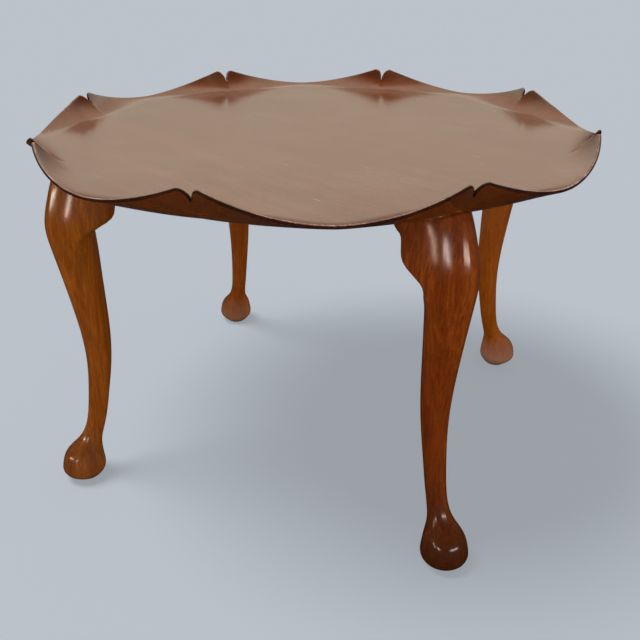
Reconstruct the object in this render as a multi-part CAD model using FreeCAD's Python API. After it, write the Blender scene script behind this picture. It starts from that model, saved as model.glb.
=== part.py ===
import FreeCAD, Part
import math
import os

Vector = FreeCAD.Vector
AXIS_Z = Vector(0, 0, 1)
ORIGIN = Vector(0, 0, 0)

# Overall sizes in millimetres. The floor is z = 0 and the table's axis is the z axis.
TABLE_HEIGHT = 432.0        # floor to the tips of the upturned points
LOBE_RADIUS = 338.0         # axis to the rim at the middle of a lobe
POINT_DRAW_IN = 6.0         # how much nearer the axis the rim is at the upturned points
LOBE_COUNT = 8

# The dish top
POINT_RISE = 27.5           # tips of the points above the flat of the dish
LOBE_RISE = 2.5             # rim above the flat at the middle of a lobe
RISE_POWER = 1.8            # how late the rim climbs from lobe to point
ROUNDING_POWER = 3.0        # how late the plan outline draws in towards a point
TOP_THICKNESS = 12.0        # board at the flat
RIM_THICKNESS = 4.0         # rounded edge of the rim
LOBE_LEAN = 20.0            # slope of the rim's wall at the middle of a lobe, in degrees
POINT_LEAN = 63.0           # slope of the rim's wall at the points
LEAN_SPREAD = 1.3           # how far from the points the wall stays steep
COVE_REACH = 8.5            # hollow between the flat and the foot of the wall
COVE_FLAT_HANDLE = 0.7      # how far the hollow keeps to the flat, as a share of its reach
COVE_WALL_HANDLE = 0.8      # how far the wall keeps straight, as a share of its length
RIM_BELLY = 47.0            # rounded part of the underside, in from the points
UNDERSIDE_FULLNESS = 0.5    # handle length of the underside curve, as a share of its chord
LOBE_STATIONS = [-1.0, -0.9, -0.75, -0.55, -0.35, -0.15, 0.15, 0.35, 0.55, 0.75, 0.9, 1.0]

# The notch in each point
NOTCH_HALF_WIDTH = 11.0     # notch centre to the tip on each side
NOTCH_DEPTH = 14.0          # tip to the bottom of the notch
NOTCH_KERF = 1.2            # width of the saw cut at the bottom
NOTCH_REACH = 60.0          # how far in from the rim the cut is carried
ELLIPSE_HANDLE = 0.5523     # handle length that makes a quarter ellipse

# The cabriole legs, cut from square stock that stands square to the sides of the table
KNEE_PROUD = 8.2            # front of the knee outside the square through the points
FELT_THICKNESS = 2.5
FELT_MARGIN = 2.0           # flat of the foot left bare round the felt
LEG_SECTION_POINTS = 32
# Foot and ankle: height above the felt, then how far behind the front of the knee the
# front line and the back line lie, then squareness (2 is round, more is squarer)
LEG_LOWER = [
    (0.0, 2.0, 34.5, 2.0),
    (5.5, -6.0, 39.5, 2.0),
    (19.0, -9.0, 41.5, 2.0),
    (34.0, -3.5, 39.5, 2.0),
    (46.0, 7.5, 38.0, 2.0),
    (59.0, 15.5, 39.5, 2.0),
    (80.0, 20.5, 43.5, 2.0),
    (108.0, 23.0, 47.5, 2.0),
]
# Middle of the shank, half way between the two lists
LEG_MIDDLE = (24.5, 52.5, 2.0)
# Calf and knee: the same, with the drop below the underside of the top
LEG_UPPER = [
    (203.0, 22.5, 55.0, 2.05),
    (162.0, 17.5, 55.0, 2.15),
    (122.0, 11.5, 54.5, 2.25),
    (87.0, 6.0, 54.0, 2.35),
    (57.0, 3.5, 52.5, 2.45),
    (27.0, 9.5, 50.5, 2.6),
    (-2.5, 17.5, 48.5, 2.8),
    (-12.0, 18.5, 48.0, 2.8),
]

# The knee blocks
BLOCK_INSET = 1.0           # face of the block behind the front line of the leg
BLOCK_SWEEP = 18.0          # how far the face bows back from the leg to its end
BLOCK_SWEEP_REACH = 26.0    # reach at which the face bows back fully
BLOCK_THICKNESS = 22.0
BLOCK_CORNER = 6.0          # rounded front corner
BLOCK_INTO_LEG = 8.0        # overlap before the block is scribed to the leg
BLOCK_ABOVE = 6.0           # height before the block is scribed to the top
# drop below the underside of the top, reach past the back line of the leg
BLOCK_OUTLINE = [
    (0.0, 45.5),
    (7.0, 45.0),
    (14.0, 43.5),
    (19.0, 41.0),
    (22.0, 38.0),
    (24.5, 33.5),
    (28.0, 31.0),
    (33.0, 30.0),
    (40.5, 29.0),
    (46.0, 28.0),
    (50.5, 25.5),
    (55.0, 20.5),
    (58.0, 15.5),
    (62.0, 10.0),
    (65.5, 6.0),
    (70.0, 2.5),
    (76.0, 0.5),
    (86.0, -1.0),
]

# The crossed bearers
BEARER_WIDTH = 36.0
BEARER_DEPTH = 22.0
HOUSING_DEPTH = 8.5         # end of the bearer let into the inner corner of the leg
TENON_WIDTH = 10.0
TENON_LENGTH = 14.0

# Dowels in the tops of the legs
DOWEL_RADIUS = 3.0
DOWEL_INTO_LEG = 22.0
DOWEL_INTO_TOP = 9.0
DOWEL_WALL = 3.0            # wood between the end of the tenon and the dowels
DOWEL_HALF_SPACING = 6.5

# Slotted countersunk screws through the bearers
SCREW_RADIUS = 2.1
SCREW_HEAD_RADIUS = 4.2
SCREW_HEAD_HEIGHT = 2.6
SCREW_INTO_TOP = 8.0
SCREW_SLOT_WIDTH = 1.0
SCREW_SLOT_DEPTH = 0.9
SCREW_INNER_DISTANCE = 90.0
SCREW_FROM_SHOULDER = 49.0

POINT_RADIUS = LOBE_RADIUS - POINT_DRAW_IN
UNDERSIDE_RADIUS = POINT_RADIUS - RIM_BELLY
FLAT_HEIGHT = TABLE_HEIGHT - POINT_RISE
UNDERSIDE_HEIGHT = FLAT_HEIGHT - TOP_THICKNESS
KNEE_FRONT = POINT_RADIUS * math.sqrt(0.5) + KNEE_PROUD
LEG_TOP_BACK = KNEE_FRONT - LEG_UPPER[-1][2]
FOOT_CENTRE = KNEE_FRONT - (LEG_LOWER[0][1] + LEG_LOWER[0][2]) / 2
FELT_RADIUS = (LEG_LOWER[0][2] - LEG_LOWER[0][1]) / 2 - FELT_MARGIN
BEARER_BOTTOM = UNDERSIDE_HEIGHT - BEARER_DEPTH
BEARER_SHOULDER = LEG_TOP_BACK * math.sqrt(2) + HOUSING_DEPTH
BEARER_END = BEARER_SHOULDER + TENON_LENGTH
DOWEL_DISTANCE = BEARER_END + DOWEL_WALL + DOWEL_RADIUS
SCREW_DISTANCES = [SCREW_INNER_DISTANCE, BEARER_SHOULDER - SCREW_FROM_SHOULDER]
HALF_LOBE = 180.0 / LOBE_COUNT
FULL_LOBE = 2 * HALF_LOBE


def turned(shape, degrees):
    copy = shape.copy()
    copy.rotate(ORIGIN, AXIS_Z, degrees)
    return copy


def line(start, end):
    return Part.LineSegment(start, end).toShape()


def bezier(points):
    curve = Part.BezierCurve()
    curve.setPoles(points)
    return curve.toShape()


# Rim height above the flat; the notch takes away the last part, so the curve is
# set to reach the full rise at the tips beside the notch
def rim_rise(turn):
    tip_turn = 1 - NOTCH_HALF_WIDTH / math.radians(HALF_LOBE) / POINT_RADIUS
    climb = (POINT_RISE - LOBE_RISE) / tip_turn ** RISE_POWER
    return LOBE_RISE + climb * abs(turn) ** RISE_POWER


def rim_radius(turn):
    return LOBE_RADIUS - (LOBE_RADIUS - POINT_RADIUS) * abs(turn) ** ROUNDING_POWER


# Slope of the rim's wall, in radians, level with its neighbours at both ends of its run
def rim_lean(turn):
    steepness = 1 - (1 - turn * turn) ** LEAN_SPREAD
    return math.radians(LOBE_LEAN + (POINT_LEAN - LOBE_LEAN) * steepness)


# One upright section of the rim: hollow, straight wall, rounded edge, full underside
def rim_section(turn):
    half_edge = RIM_THICKNESS / 2
    lean = rim_lean(turn)
    along = Vector(math.cos(lean), 0, math.sin(lean))
    away = Vector(math.sin(lean), 0, -math.cos(lean))
    edge_top = FLAT_HEIGHT + rim_rise(turn)
    edge_centre = Vector(rim_radius(turn) - half_edge * along.x, 0, edge_top - half_edge)
    edge_tip = edge_centre + along * half_edge
    wall_end = edge_centre - away * half_edge
    edge_end = edge_centre + away * half_edge
    wall_foot = wall_end - along * ((wall_end.z - FLAT_HEIGHT) / math.sin(lean))
    cove_start = wall_foot - Vector(COVE_REACH, 0, 0)
    under = Vector(UNDERSIDE_RADIUS, 0, UNDERSIDE_HEIGHT)
    handle = (edge_end - under).Length * UNDERSIDE_FULLNESS
    cove = bezier([
        cove_start,
        cove_start + (wall_foot - cove_start) * COVE_FLAT_HANDLE,
        wall_end + (wall_foot - wall_end) * COVE_WALL_HANDLE,
        wall_end,
    ])
    edge = Part.Arc(wall_end, edge_tip, edge_end).toShape()
    underside = bezier([edge_end, edge_end - along * handle, under + Vector(handle, 0, 0), under])
    return turned(Part.Wire([cove, edge, underside]), turn * HALF_LOBE)


def flat_face(strips, height):
    edges = []
    for strip in strips:
        for edge in strip.Edges:
            box = edge.BoundBox
            if abs(box.ZMin - height) < 1e-6 and abs(box.ZMax - height) < 1e-6:
                edges.append(edge)
    return Part.Face(Part.Wire(Part.__sortEdges__(edges)))


# The notch: two rounded tips falling to a saw cut, carried in through the rim
def notch_cutter():
    bottom = TABLE_HEIGHT - NOTCH_DEPTH
    top = TABLE_HEIGHT + NOTCH_DEPTH
    start = POINT_RADIUS - NOTCH_REACH
    depth = 2 * NOTCH_REACH
    kerf = NOTCH_KERF / 2
    tip = NOTCH_HALF_WIDTH
    bend = (tip - kerf) * ELLIPSE_HANDLE
    climb = NOTCH_DEPTH * ELLIPSE_HANDLE
    edges = [line(Vector(start, -kerf, bottom), Vector(start, kerf, bottom))]
    for side in (1, -1):
        edges.append(bezier([
            Vector(start, side * kerf, bottom),
            Vector(start, side * kerf, bottom + climb),
            Vector(start, side * (tip - bend), TABLE_HEIGHT),
            Vector(start, side * tip, TABLE_HEIGHT),
        ]))
        edges.append(line(Vector(start, side * tip, TABLE_HEIGHT), Vector(start, side * tip, top)))
    edges.append(line(Vector(start, tip, top), Vector(start, -tip, top)))
    outline = Part.Wire(Part.__sortEdges__(edges))
    return Part.Face(outline).extrude(Vector(depth, 0, 0))


def make_top():
    lobe = Part.makeLoft([rim_section(turn) for turn in LOBE_STATIONS], False, False)
    lobes = [turned(lobe, HALF_LOBE + step * FULL_LOBE) for step in range(LOBE_COUNT)]
    faces = [face for strip in lobes for face in strip.Faces]
    faces.append(flat_face(lobes, FLAT_HEIGHT))
    faces.append(flat_face(lobes, UNDERSIDE_HEIGHT))
    shell = Part.Shell(faces)
    shell.sewShape()
    board = Part.Solid(Part.Shell(shell.Faces))
    if board.Volume < 0:
        board.reverse()
    cutter = notch_cutter()
    notches = [turned(cutter, step * FULL_LOBE) for step in range(LOBE_COUNT)]
    return board.cut(notches)


# Every station of the leg from the floor up: height, front line, back line, squareness
def leg_stations():
    lower = [(FELT_THICKNESS + row[0],) + row[1:] for row in LEG_LOWER]
    upper = [(UNDERSIDE_HEIGHT - row[0],) + row[1:] for row in LEG_UPPER]
    middle = ((lower[-1][0] + upper[0][0]) / 2,) + LEG_MIDDLE
    return lower + [middle] + upper


# Rounded square section of a leg, between its front and back lines
def leg_section(height, front, back, squareness, x_side, y_side):
    half = (back - front) / 2
    centre = KNEE_FRONT - (back + front) / 2
    points = []
    for step in range(LEG_SECTION_POINTS):
        angle = 2 * math.pi * step / LEG_SECTION_POINTS
        across = abs(math.cos(angle)) ** squareness + abs(math.sin(angle)) ** squareness
        radius = half / across ** (1 / squareness)
        points.append(Vector(x_side * centre + radius * math.cos(angle),
                             y_side * centre + radius * math.sin(angle), height))
    curve = Part.BSplineCurve()
    curve.interpolate(points, PeriodicFlag=True)
    return Part.Wire(curve.toShape())


def make_leg(x_side, y_side):
    sections = [leg_section(*station, x_side, y_side) for station in leg_stations()]
    return Part.makeLoft(sections, True, False)


# Front and back lines of the leg at any height, as distances from the table's axis
def leg_lines(height):
    stations = leg_stations()
    for low, high in zip(stations, stations[1:]):
        if low[0] <= height <= high[0]:
            part = (height - low[0]) / (high[0] - low[0])
            front = low[1] + part * (high[1] - low[1])
            back = low[2] + part * (high[2] - low[2])
            return KNEE_FRONT - front, KNEE_FRONT - back


# A knee block running from the leg towards its neighbour along the x direction,
# made at the right front leg with its face to the front; the face bows back as a
# parabola from the middle of the leg to the end of the block
def make_block():
    outline = [(-BLOCK_ABOVE, BLOCK_OUTLINE[0][1])] + BLOCK_OUTLINE
    sections = []
    for drop, reach in outline:
        height = UNDERSIDE_HEIGHT - drop
        front, back = leg_lines(height)
        middle = (front + back) / 2
        root = back + BLOCK_INTO_LEG
        end = back - reach
        bend = end + BLOCK_CORNER
        face = BLOCK_INSET - front
        sweep = BLOCK_SWEEP * min(1, max(0, reach) / BLOCK_SWEEP_REACH)
        bow = sweep / (middle - end) ** 2
        face_root = Vector(root, face + bow * (middle - root) ** 2, height)
        face_pole = Vector((root + bend) / 2, face + bow * (middle - root) * (middle - bend), height)
        face_end = Vector(bend, face + bow * (middle - bend) ** 2, height)
        corner = Vector(end, face + sweep, height)
        end_start = corner + Vector(0, BLOCK_CORNER, 0)
        rear_end = corner + Vector(0, BLOCK_THICKNESS, 0)
        rear_root = face_root + Vector(0, BLOCK_THICKNESS, 0)
        sections.append(Part.Wire([
            bezier([face_root, face_pole, face_end]),
            bezier([face_end, corner, end_start]),
            line(end_start, rear_end),
            line(rear_end, rear_root),
            line(rear_root, face_root),
        ]))
    return Part.makeLoft(sections, True, False)


# A bearer along the x axis with a tenon at each end and half its depth taken
# out where the other one crosses
def make_bearer(halving_above):
    body = Part.makeBox(2 * BEARER_SHOULDER, BEARER_WIDTH, BEARER_DEPTH,
                        Vector(-BEARER_SHOULDER, -BEARER_WIDTH / 2, BEARER_BOTTOM))
    tenons = Part.makeBox(2 * BEARER_END, TENON_WIDTH, BEARER_DEPTH,
                          Vector(-BEARER_END, -TENON_WIDTH / 2, BEARER_BOTTOM))
    half = BEARER_DEPTH / 2
    start = BEARER_BOTTOM + half if halving_above else BEARER_BOTTOM
    halving = Part.makeBox(BEARER_WIDTH, BEARER_WIDTH, half,
                           Vector(-BEARER_WIDTH / 2, -BEARER_WIDTH / 2, start))
    return body.fuse(tenons).cut(halving).removeSplitter()


def make_screw(distance):
    cone = Part.makeCone(SCREW_HEAD_RADIUS, SCREW_RADIUS, SCREW_HEAD_HEIGHT,
                         Vector(distance, 0, BEARER_BOTTOM))
    shank = Part.makeCylinder(SCREW_RADIUS, BEARER_DEPTH + SCREW_INTO_TOP,
                              Vector(distance, 0, BEARER_BOTTOM))
    return cone.fuse(shank).removeSplitter()


def screw_slot(distance):
    return Part.makeBox(2 * SCREW_HEAD_RADIUS, SCREW_SLOT_WIDTH, SCREW_SLOT_DEPTH,
                        Vector(distance - SCREW_HEAD_RADIUS, -SCREW_SLOT_WIDTH / 2, BEARER_BOTTOM))


def make_dowel(side):
    return Part.makeCylinder(DOWEL_RADIUS, DOWEL_INTO_LEG + DOWEL_INTO_TOP,
                             Vector(DOWEL_DISTANCE, side * DOWEL_HALF_SPACING,
                                    UNDERSIDE_HEIGHT - DOWEL_INTO_LEG))


def make_pad(x_side, y_side):
    return Part.makeCylinder(FELT_RADIUS, FELT_THICKNESS,
                             Vector(x_side * FOOT_CENTRE, y_side * FOOT_CENTRE, 0))


def save(name, shape):
    shape.exportStep("parts/" + name + ".step")


def main():
    os.makedirs("parts", exist_ok=True)
    diagonals = [45, 135, 225, 315]

    # Fasteners, each cut its own shape out of the wood around it
    screws = [turned(make_screw(distance), angle) for angle in diagonals for distance in SCREW_DISTANCES]
    slots = [turned(screw_slot(distance), angle) for angle in diagonals for distance in SCREW_DISTANCES]
    dowels = [turned(make_dowel(side), angle) for angle in diagonals for side in (-1, 1)]

    top = make_top()
    bearer_lower = turned(make_bearer(True), 45)
    bearer_upper = turned(make_bearer(False), 135)
    bearers = [bearer_lower, bearer_upper]

    corners = {
        "front_left": (-1, -1),
        "front_right": (1, -1),
        "back_left": (-1, 1),
        "back_right": (1, 1),
    }
    block_front = make_block()
    for name, (x_side, y_side) in corners.items():
        leg = make_leg(x_side, y_side).cut([top] + bearers)
        end_name = "front" if y_side < 0 else "back"
        along_x = block_front.copy()
        along_y = block_front.mirror(ORIGIN, Vector(1, 1, 0))
        for block_name, block in ((end_name, along_x), ("side", along_y)):
            if x_side < 0:
                block = block.mirror(ORIGIN, Vector(1, 0, 0))
            if y_side > 0:
                block = block.mirror(ORIGIN, Vector(0, 1, 0))
            save("knee_block_" + name + "_" + block_name, block.cut([top, leg] + bearers))
        save("leg_" + name, leg.cut(dowels))
        save("felt_pad_" + name, make_pad(x_side, y_side))

    save("table_top", top.cut(screws + dowels))
    save("bearer_front_left_to_back_right", bearer_lower.cut(screws))
    save("bearer_front_right_to_back_left", bearer_upper.cut(screws))
    save("bearer_screws", Part.makeCompound([screw.cut(slots) for screw in screws]))
    save("leg_dowels", Part.makeCompound(dowels))


main()
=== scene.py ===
# %% [markdown]
# # A scalloped coffee table
# This lesson dresses a measured wooden coffee table for its picture. The table is a thin round
# dish of polished mahogany with eight lobes, whose rim turns up into notched points, on four
# carved cabriole legs with ball feet. The measured model is loaded first as a fixed frame. Every
# piece made here sits exactly where that frame says. Its lengths are worked in millimetres and
# turned to metres when its mesh is made, while lamps and heights in a finish are given in metres.

# %% Load the measured table
import math
import bmesh
import bpy
import numpy as np
from mathutils import Matrix, Vector


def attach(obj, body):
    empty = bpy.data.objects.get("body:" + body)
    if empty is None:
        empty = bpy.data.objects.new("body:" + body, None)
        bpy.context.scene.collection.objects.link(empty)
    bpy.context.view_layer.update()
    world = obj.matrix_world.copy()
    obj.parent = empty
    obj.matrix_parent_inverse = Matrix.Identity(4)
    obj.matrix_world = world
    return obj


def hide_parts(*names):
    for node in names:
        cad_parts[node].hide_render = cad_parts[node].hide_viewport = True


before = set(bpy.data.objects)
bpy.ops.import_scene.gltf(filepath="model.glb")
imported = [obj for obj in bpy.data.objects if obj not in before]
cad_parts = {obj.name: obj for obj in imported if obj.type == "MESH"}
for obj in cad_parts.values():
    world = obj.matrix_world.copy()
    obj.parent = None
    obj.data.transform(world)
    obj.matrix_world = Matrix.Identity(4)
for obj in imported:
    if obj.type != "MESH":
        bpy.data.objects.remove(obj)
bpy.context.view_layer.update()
MM = 0.001
scene = bpy.context.scene
scene.view_settings.view_transform = "Standard"
print("nodes in the frame:", len(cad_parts))

# %% [markdown]
# ## The camera
# The camera stands 0.64 m above the floor, a little to the right of the front, and looks down on
# the dish at a slant. A real camera's place can be found from points that are known on the object,
# and here they were the notches and the feet. The frame is shifted down by an eighth of its height,
# as in a picture that was trimmed after it was taken.

# %% Place the camera
CAMERA_TURN = math.radians(19.15)
CAMERA_TILT = math.radians(21.48)
CAMERA_DISTANCE = 1115.5
CAMERA_TARGET = (-25.8, 81.8, 227.8)
FOCAL_PIXELS = 782.6
IMAGE_CENTRE = (316.6, 240.0)
IMAGE_SIZE = 640
SENSOR_WIDTH = 36.0


def place_camera():
    level = math.cos(CAMERA_TILT)
    back = Vector((math.sin(CAMERA_TURN) * level, -math.cos(CAMERA_TURN) * level, math.sin(CAMERA_TILT)))
    right = Vector((math.cos(CAMERA_TURN), math.sin(CAMERA_TURN), 0))
    up = back.cross(right)
    lens = bpy.data.cameras.new("camera")
    lens.sensor_width = SENSOR_WIDTH
    lens.lens = FOCAL_PIXELS / IMAGE_SIZE * SENSOR_WIDTH
    lens.shift_x = (IMAGE_SIZE / 2 - IMAGE_CENTRE[0]) / IMAGE_SIZE
    lens.shift_y = (IMAGE_CENTRE[1] - IMAGE_SIZE / 2) / IMAGE_SIZE
    camera = bpy.data.objects.new("camera", lens)
    turn = Matrix((right, up, back)).transposed().to_4x4()
    turn.translation = (Vector(CAMERA_TARGET) + back * CAMERA_DISTANCE) * MM
    camera.matrix_world = turn
    scene.collection.objects.link(camera)
    scene.camera = camera
    return camera


camera = place_camera()
print("lens", round(camera.data.lens, 2), "mm at", [round(v, 3) for v in camera.location])

# %% [markdown]
# ## Making a piece from rings of points
# The dish and the legs are all skins stretched over closed rings of points, the way a hull is
# planked over its frames. One function joins ring to ring with four-sided faces and closes the
# two ends with a fan, and a second one makes the Blender object, lets it ride on the frame and
# hides the plain piece that it stands for.

# %% Skin and piece helpers


def skin_over(rings):
    rows, columns = rings.shape[:2]
    index = np.arange(rows * columns).reshape(rows, columns)
    following = np.roll(index, -1, axis=1)
    quads = np.stack([index[:-1], following[:-1], following[1:], index[1:]], axis=-1).reshape(-1, 4)
    faces = quads.tolist()
    first = rows * columns
    faces += np.stack([following[0], index[0], np.full(columns, first)], axis=-1).tolist()
    faces += np.stack([index[-1], following[-1], np.full(columns, first + 1)], axis=-1).tolist()
    ends = np.stack([rings[0].mean(axis=0), rings[-1].mean(axis=0)])
    return np.concatenate([rings.reshape(-1, 3), ends]), faces


def new_mesh(name, points, faces):
    mesh = bpy.data.meshes.new(name)
    mesh.from_pydata((points * MM).tolist(), [], faces)
    shape = bmesh.new()
    shape.from_mesh(mesh)
    bmesh.ops.recalc_face_normals(shape, faces=shape.faces)
    shape.to_mesh(mesh)
    shape.free()
    mesh.shade_smooth()
    return mesh


def add_piece(mesh, slot_name, *nodes):
    piece = bpy.data.objects.new("visual_" + nodes[0], mesh)
    scene.collection.objects.link(piece)
    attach(piece, "root")
    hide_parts(*nodes)
    return piece


print("helpers ready")

# %% [markdown]
# ## The section of the dish
# A turner and carver would cut this dish from one board: a flat floor, a soft hollow, a leaning
# wall up to a rounded edge 4 mm thick, and a full belly underneath that thins towards the edge.
# The rim is low and nearly flat in the middle of each lobe and climbs to a steep point between
# lobes. The section below follows the measured model's own rule, with far more points, which is
# what a polished surface needs to reflect cleanly. Only the hollow is drawn wider, by up to about
# 2 mm at the points, as years of wiping and polishing leave it.

# %% Rise, radius and lean of the rim
LOBE_COUNT = 8
HALF_LOBE = math.pi / LOBE_COUNT
LOBE_RADIUS = 338.0
POINT_RADIUS = 332.0
ROUNDING_POWER = 3.0
LOBE_RISE = 2.5
POINT_RISE = 27.5
RISE_POWER = 1.8
LOBE_LEAN = 20.0
POINT_LEAN = 63.0
LEAN_SPREAD = 1.3
NOTCH_HALF_WIDTH = 11.0
# turn is 0 in the middle of a lobe and 1 in the notch, and the tips beside the notch are at this turn
TIP_TURN = 1 - NOTCH_HALF_WIDTH / HALF_LOBE / POINT_RADIUS


def rim_rise(turn):
    return LOBE_RISE + (POINT_RISE - LOBE_RISE) * (abs(turn) / TIP_TURN) ** RISE_POWER


def rim_radius(turn):
    return LOBE_RADIUS - (LOBE_RADIUS - POINT_RADIUS) * abs(turn) ** ROUNDING_POWER


def rim_lean(turn):
    steepness = 1 - (1 - turn * turn) ** LEAN_SPREAD
    return math.radians(LOBE_LEAN + (POINT_LEAN - LOBE_LEAN) * steepness)


print("the rim rises", rim_rise(0), "mm in a lobe and", rim_rise(TIP_TURN), "mm at a tip")

# %% Section of the rim
TABLE_HEIGHT = 432.0
TOP_THICKNESS = 12.0
FLAT_HEIGHT = TABLE_HEIGHT - POINT_RISE
UNDERSIDE_HEIGHT = FLAT_HEIGHT - TOP_THICKNESS
UNDERSIDE_RADIUS = 285.0
UNDERSIDE_FULLNESS = 0.5
COVE_REACH = 17.0
COVE_FLAT_HANDLE = 0.55
COVE_WALL_HANDLE = 0.8
HALF_EDGE = 2.0
COVE_STEPS = 18
BELLY_STEPS = 18
BOW_SAMPLES = 400


def bow(poles, share):
    share = np.asarray(share)[:, None]
    rest = 1 - share
    return (poles[0] * rest ** 3 + 3 * poles[1] * rest ** 2 * share
            + 3 * poles[2] * rest * share ** 2 + poles[3] * share ** 3)


def share_at_height(poles, height):
    shares = np.linspace(0, 1, BOW_SAMPLES)
    heights = bow(poles, shares)[:, 1]
    rising = 1 if heights[-1] > heights[0] else -1
    return float(np.interp(rising * height, rising * heights, shares))


def rim_section(turn, end_height=None):
    lean = rim_lean(turn)
    along = np.array([math.cos(lean), math.sin(lean)])
    away = np.array([math.sin(lean), -math.cos(lean)])
    edge_top = FLAT_HEIGHT + rim_rise(turn)
    edge_centre = np.array([rim_radius(turn) - HALF_EDGE * along[0], edge_top - HALF_EDGE])
    wall_end = edge_centre - away * HALF_EDGE
    edge_end = edge_centre + away * HALF_EDGE
    wall_foot = wall_end - along * ((wall_end[1] - FLAT_HEIGHT) / math.sin(lean))
    cove_start = wall_foot - np.array([COVE_REACH, 0])
    hollow = [cove_start, cove_start + (wall_foot - cove_start) * COVE_FLAT_HANDLE,
              wall_end + (wall_foot - wall_end) * COVE_WALL_HANDLE, wall_end]
    under = np.array([UNDERSIDE_RADIUS, UNDERSIDE_HEIGHT])
    handle = np.linalg.norm(edge_end - under) * UNDERSIDE_FULLNESS
    outside = [edge_end, edge_end - along * handle, under + np.array([handle, 0]), under]
    cove_end = 1.0
    belly_start = 0.0
    if end_height is not None:
        cove_end = share_at_height(hollow, end_height)
        belly_start = share_at_height(outside, end_height)
    cove = bow(hollow, np.linspace(0, cove_end, COVE_STEPS + 1))
    belly = bow(outside, np.linspace(belly_start, 1, BELLY_STEPS + 1))
    return cove, belly, along


cove, belly, along = rim_section(0)
print("rim at a lobe's middle:", round(float(belly[:, 0].max()), 1), "mm out")

# %% [markdown]
# ## The notched points
# Each point of the rim is split by a small notch: two soft tips that fall to a saw cut. A boolean
# cut would leave hard corners there, so the notch is drawn into the columns of points instead. Each
# column crosses the rim at one place round the table, and near a notch it stops at the notch's
# outline, set back a little, and the edge then bulges out to the outline. That rounds every corner
# of the notch, as sanding and years of polishing have done on the real one.

# %% Columns of one half lobe, from the notch to the middle
NOTCH_DEPTH = 14.0
NOTCH_KERF = 1.2
NOTCH_STEPS = 12
LOBE_STEPS = 26
SLIT_ROUNDING = 0.9


def half_lobe_columns():
    bottom = TABLE_HEIGHT - NOTCH_DEPTH
    kerf = NOTCH_KERF / 2
    wide = NOTCH_HALF_WIDTH - kerf
    slit = SLIT_ROUNDING
    # distance from the notch, height where the column stops, and its edge's bulge sideways and up
    columns = [(0.0, bottom - slit, (0.0, slit)), (kerf + slit, bottom - slit, (-slit, slit))]
    for step in range(1, NOTCH_STEPS):
        angle = math.radians(90.0 * step / NOTCH_STEPS)
        outline = np.array([kerf + wide * (1 - math.cos(angle)), bottom + NOTCH_DEPTH * math.sin(angle)])
        out = np.array([-math.cos(angle) / wide, math.sin(angle) / NOTCH_DEPTH])
        out /= np.linalg.norm(out)
        push = out * (slit + (HALF_EDGE - slit) * math.sin(angle))
        set_back = outline - push
        columns.append((set_back[0], set_back[1], tuple(push)))
    lobe_length = HALF_LOBE * POINT_RADIUS
    for distance in np.linspace(NOTCH_HALF_WIDTH, lobe_length, LOBE_STEPS + 1):
        columns.append((float(distance), None, None))
    return columns


half_lobe = half_lobe_columns()
print("columns in half a lobe:", len(half_lobe))

# %% [markdown]
# ## The dish
# Eight lobes, each a half and its mirror image, go round to make the whole ring. The rings run
# from near the middle of the flat, up the cove, over the edge and back under the belly, so the
# dish is one closed skin.

# %% Build the dish top
FLAT_SHARES = [0.1, 0.3, 0.5, 0.7, 0.85, 0.95, 0.985]
UNDER_SHARES = [0.985, 0.9, 0.7, 0.45, 0.15]
EDGE_STEPS = 8
# the skin is drawn in by this much, so that it stays inside the measured table's box
SKIN_CLEARANCE = 0.3
SKIN_INSET = 1 - SKIN_CLEARANCE / LOBE_RADIUS


def dish_column(distance, end_height, push, side, lobe_angle):
    turn = 1 - distance / (HALF_LOBE * POINT_RADIUS)
    cove, belly, along = rim_section(turn, end_height)
    angle = lobe_angle + side * turn * HALF_LOBE
    outward = np.array([math.cos(angle), math.sin(angle), 0.0])
    upward = np.array([0.0, 0.0, 1.0])
    sideways = np.array([-math.sin(angle), math.cos(angle), 0.0]) * side
    if push is None:
        bulge = (outward * along[0] + upward * along[1]) * HALF_EDGE
    else:
        bulge = -sideways * push[0] + upward * push[1]
    flat = [(share * cove[0][0], FLAT_HEIGHT) for share in FLAT_SHARES]
    under = [(share * UNDERSIDE_RADIUS, UNDERSIDE_HEIGHT) for share in UNDER_SHARES]
    inner = np.array(flat + cove.tolist())
    rows = [outward * out + upward * height for out, height in inner]
    edge_from = rows[-1]
    edge_to = outward * belly[0][0] + upward * belly[0][1]
    for step in range(1, EDGE_STEPS):
        round_angle = math.pi * step / EDGE_STEPS
        across = (1 - math.cos(round_angle)) / 2
        rows.append(edge_from * (1 - across) + edge_to * across + bulge * math.sin(round_angle))
    rows += [outward * out + upward * height for out, height in belly.tolist() + under]
    return rows


def dish_rings():
    columns = []
    for lobe in range(LOBE_COUNT):
        lobe_angle = HALF_LOBE * (2 * lobe + 1)
        for distance, end_height, push in half_lobe:
            columns.append(dish_column(distance, end_height, push, -1, lobe_angle))
        for distance, end_height, push in half_lobe[-2:0:-1]:
            columns.append(dish_column(distance, end_height, push, 1, lobe_angle))
    return np.array(columns).transpose(1, 0, 2) * np.array([SKIN_INSET, SKIN_INSET, 1.0])


rings = dish_rings()
DISH_ROWS = len(rings)
dish = add_piece(new_mesh("dish_top", *skin_over(rings)), "mahogany_top", "table_top")
print("dish top:", len(dish.data.vertices), "points,", [round(v, 4) for v in dish.dimensions])

# %% [markdown]
# ## The shape of a leg
# A cabriole leg is sawn from square stock to the same curve on two sides, then rounded with rasps:
# square and bold at the knee, round at the ankle, with a ball foot. The carved ears beside the
# knee are separate blocks glued on and shaped together with the leg, so the surface flows from one
# to the other. To get that flow, the leg and its two ears are described as one rounded solid,
# measured outward from the table's middle along both sides, and skinned from the foot up. The top
# of the knee leans in about 4 mm more than on the measured leg, because that is what bends the
# window streaks on the polish the right way.

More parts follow.
